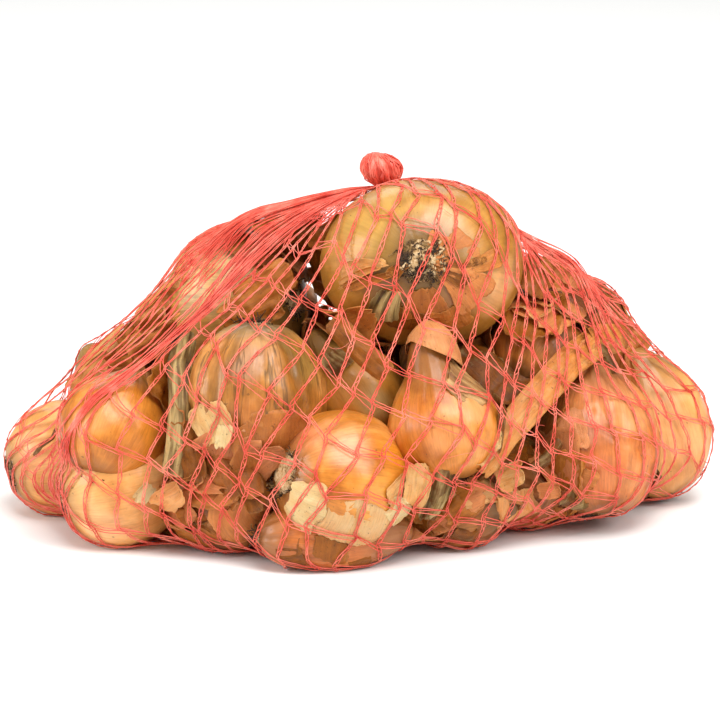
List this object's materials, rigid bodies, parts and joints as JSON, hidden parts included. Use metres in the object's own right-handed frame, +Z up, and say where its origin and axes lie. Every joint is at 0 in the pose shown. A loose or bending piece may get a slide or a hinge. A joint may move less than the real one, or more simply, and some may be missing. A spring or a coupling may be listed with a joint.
{
  "type": "net of shallots",
  "caption": "Knitted red plastic net drawn tight over round yellow shallots and tied in a short knot on top, lying on its side.",
  "frame": {"origin": "on the table under the middle of the filled net, on its flat underside", "axes": "+X along the net's length, +Y to the back, +Z up; the side with the golden shallot in the middle faces -Y"},
  "size_m": [0.2006, 0.1141, 0.1022],
  "materials": {
    "net_thread": "thin knitted thread, soft sheen",
    "shallot_skin": null,
    "dry_skin": "loose dry skins, necks and flakes, matt and papery",
    "root": "dry root hairs and root plates, matt"
  },
  "bodies": {
    "root": {"filled_net": "net_thread"}
  },
  "joints": []
}
